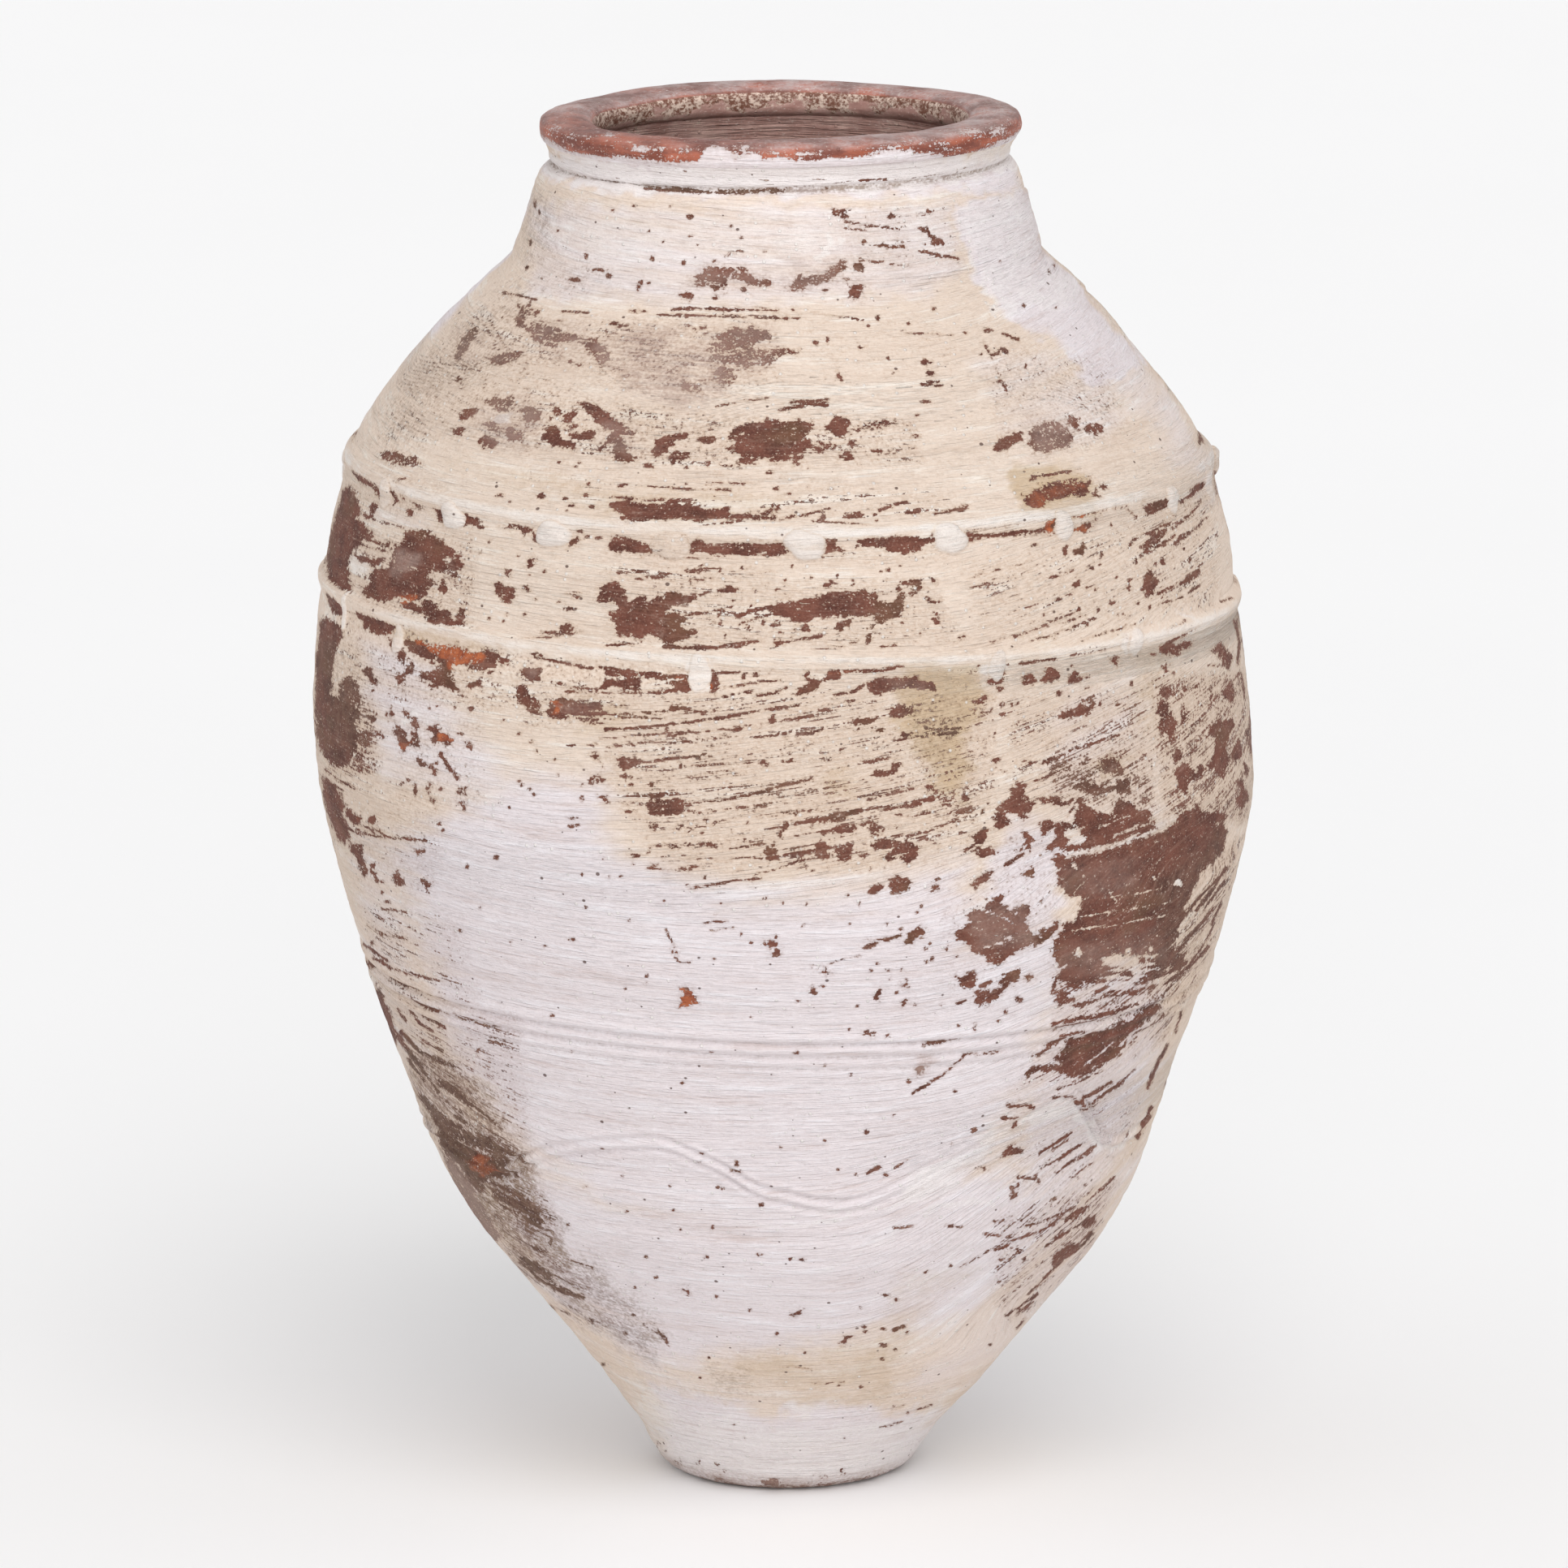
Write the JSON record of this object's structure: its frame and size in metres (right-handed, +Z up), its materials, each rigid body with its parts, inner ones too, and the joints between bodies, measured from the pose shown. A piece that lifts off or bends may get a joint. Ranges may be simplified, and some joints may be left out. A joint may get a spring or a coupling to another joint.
{
  "type": "storage jar",
  "caption": "Tall ovoid terracotta storage jar with a small foot, wide belly, low conical neck, rolled rim and raised bands with pressed clay beads, under worn limewash.",
  "frame": {"origin": "centre of the foot's resting face, on the jar's axis", "axes": "+Z up along the jar's axis towards the mouth; -Y is the side seen in the picture; +X is to the right in that view"},
  "size_m": [0.5574, 0.5574, 0.8183],
  "materials": {
    "limewashed_terracotta": "matt, worn limewash over brown terracotta",
    "terracotta": "matt, bare fired clay"
  },
  "bodies": {
    "root": {"base_disc": "limewashed_terracotta", "foot_wall": "limewashed_terracotta", "lower_wall": "limewashed_terracotta", "middle_wall": "limewashed_terracotta", "upper_wall": "limewashed_terracotta", "shoulder_wall": "limewashed_terracotta", "neck_wall": "limewashed_terracotta", "neck_collar": "limewashed_terracotta", "rim_ring": "terracotta", "belly_cordon": "limewashed_terracotta", "shoulder_cordon": "limewashed_terracotta", "shoulder_beads": "limewashed_terracotta", "belly_tabs": "limewashed_terracotta"}
  },
  "joints": []
}
